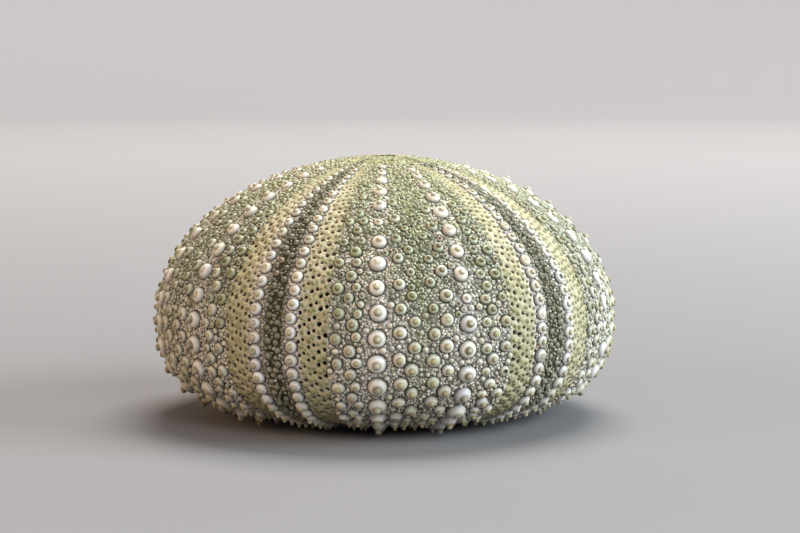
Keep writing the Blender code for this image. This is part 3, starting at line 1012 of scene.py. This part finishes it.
def build_shell():
    """All pieces of the shell."""
    lift = wall_lift()
    wall = Wall(0.0, lift)
    crowd = Crowd()
    knobs = placed_knobs(wall, crowd)
    pores = placed_pores(wall, crowd)
    placed = knobs + placed_bead_smalls(wall, crowd)
    rng = random.Random(SCATTER_SEED)
    for sizes in SMALL_SCATTER:
        placed += scattered(wall, crowd, rng, *sizes)
    kinds = ("wide", "narrow", "side", "pore", "small")
    of_kind = {kind: [k for k in placed if k[0] == kind] for kind in kinds}
    of_kind["grain"] = scattered(wall, crowd, rng, *GRAIN_SCATTER)
    of_kind["speck"] = scattered(wall, crowd, rng, *SPECK_SCATTER)
    body = build_wall(lift, wall, [k for k in placed if k[3] > RINGED_KNOBS and k[0] != "pore"], pores)
    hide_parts("shell")
    skins = {name: chalk(name, *values) for name, values in SKINS.items()}
    body.data.materials.append(skins["wall"])
    for name, kind, seed, skin, groups in PIECES:
        piece = knob_piece(name, wall, of_kind[kind], groups, seed)
        piece.data.materials.append(skins[skin])


# Floor: radius of its flat part and of its rim, points round it, and its tone at shares of the way out
FLOOR_FLAT, FLOOR_RIM = 0.9, 0.6
FLOOR_POINTS = 96
# The tones are painted light: darker round the shell and paler outwards, most on the curved rim, which
# the lamps light less
FLOOR_TONES = ((0.033, 0.165), (0.25, 0.25), (0.42, 0.33), (0.62, 0.46), (1.0, 0.72))


def build_floor():
    """Pale floor that curves up into a low rim far outside the picture, with painted light: darker round
    the shell, paler outwards.
    """
    bends = [math.radians(a) for a in range(9, 91, 9)]
    radii = [0.0, FLOOR_FLAT] + [FLOOR_FLAT + FLOOR_RIM * math.sin(bend) for bend in bends]
    levels = [0.0, 0.0] + [FLOOR_RIM - FLOOR_RIM * math.cos(bend) for bend in bends]
    count = FLOOR_POINTS
    points, faces = [], []
    for radius, level in zip(radii, levels):
        for k in range(count):
            turn = TURN * k / count
            points.append((radius * math.cos(turn), radius * math.sin(turn), level))
    for ring in range(len(radii) - 1):
        for k in range(count):
            a, b = ring * count + k, ring * count + (k + 1) % count
            faces.append((a, b, b + count, a + count))
    mesh = bpy.data.meshes.new("floor")
    mesh.from_pydata(points, [], faces)
    mesh.shade_smooth()
    floor = new_object("floor", mesh)
    material = bpy.data.materials.new("floor")
    material.use_nodes = True
    surface = material.node_tree.nodes["Principled BSDF"]
    surface.inputs["Roughness"].default_value = 0.8
    surface.inputs["Specular IOR Level"].default_value = 0.2
    place = add_node(material, "ShaderNodeTexCoord")
    away = add_node(material, "ShaderNodeVectorMath")
    away.operation = "LENGTH"
    ramp = add_ramp(material, [(where, (tone, 0.95 * tone, 0.955 * tone)) for where, tone in FLOOR_TONES])
    scale = add_node(material, "ShaderNodeMath", {1: FLOOR_FLAT + FLOOR_RIM})
    scale.operation = "DIVIDE"
    join(
        material,
        (place, "Object", away, 0),
        (away, "Value", scale, 0),
        (scale, "Value", ramp, "Fac"),
        (ramp, "Color", surface, "Base Color"),
    )
    mesh.materials.append(material)


# Soft lights: name, place, width and depth, power in watts and colour
LIGHTS = (
    ("top", (0.15, 0.40, 0.85), (0.60, 0.50), 16.5, (1.0, 0.99, 0.95)),
    ("right", (0.66, -0.12, 0.30), (0.50, 0.40), 10.2, (0.72, 0.90, 1.0)),
    ("front", (0.35, -0.75, 0.45), (0.40, 0.40), 5.0, (0.87, 0.92, 1.0)),
    ("left", (-0.65, -0.25, 0.34), (0.40, 0.35), 2.6, (1.0, 0.62, 0.27)),
)
LIGHTS_AIM = (0.0, 0.0, 0.012)
ROOM_COLOUR, ROOM_STRENGTH = (0.98, 0.97, 1.0, 1.0), 0.30


def softbox(name, place, size, power, colour):
    """A soft rectangular light aimed at the shell."""
    light = bpy.data.lights.new(name, "AREA")
    light.shape = "RECTANGLE"
    light.size, light.size_y = size
    light.energy = power
    light.color = colour
    item = new_object(name, light)
    item.location = place
    item.rotation_euler = (Vector(LIGHTS_AIM) - Vector(place)).to_track_quat("-Z", "Y").to_euler()
    item.visible_camera = False


def build_lights():
    """Soft light from above, cool from the right and warm from the left."""
    for values in LIGHTS:
        softbox(*values)
    world = bpy.data.worlds.new("room")
    world.use_nodes = True
    room = world.node_tree.nodes["Background"]
    room.inputs["Color"].default_value = ROOM_COLOUR
    room.inputs["Strength"].default_value = ROOM_STRENGTH
    bpy.context.scene.world = world
    bpy.context.scene.view_settings.view_transform = "Standard"


# Camera: degrees, metres, millimetres of lens, and pixels of the picture
ELEVATION = 6.77
DISTANCE = 0.2208
LENS, SENSOR = 100.0, 36.0
IMAGE = (800, 533)
CENTRE_PIXEL = (384.5, 308.3)


def build_camera():
    """Camera at the picture's angle, aimed so that the shell's middle falls where it does there."""
    middle = Vector((0.0, 0.0, wall_lift()))
    angle = math.radians(ELEVATION)
    back = Vector((0.0, -math.cos(angle), math.sin(angle)))
    place = middle + DISTANCE * back
    up = Vector((0.0, math.sin(angle), math.cos(angle)))
    pixel = DISTANCE / (LENS / SENSOR * IMAGE[0])
    aim = middle + Vector(((IMAGE[0] / 2 - CENTRE_PIXEL[0]) * pixel, 0.0, 0.0))
    aim = aim + up * (CENTRE_PIXEL[1] - IMAGE[1] / 2) * pixel
    camera = bpy.data.cameras.new("camera")
    camera.lens = LENS
    camera.sensor_width = SENSOR
    camera.clip_start = 0.01
    item = new_object("camera", camera)
    item.location = place
    item.rotation_euler = (aim - place).to_track_quat("-Z", "Y").to_euler()
    bpy.context.scene.camera = item


build_camera()
build_lights()
build_floor()
build_shell()
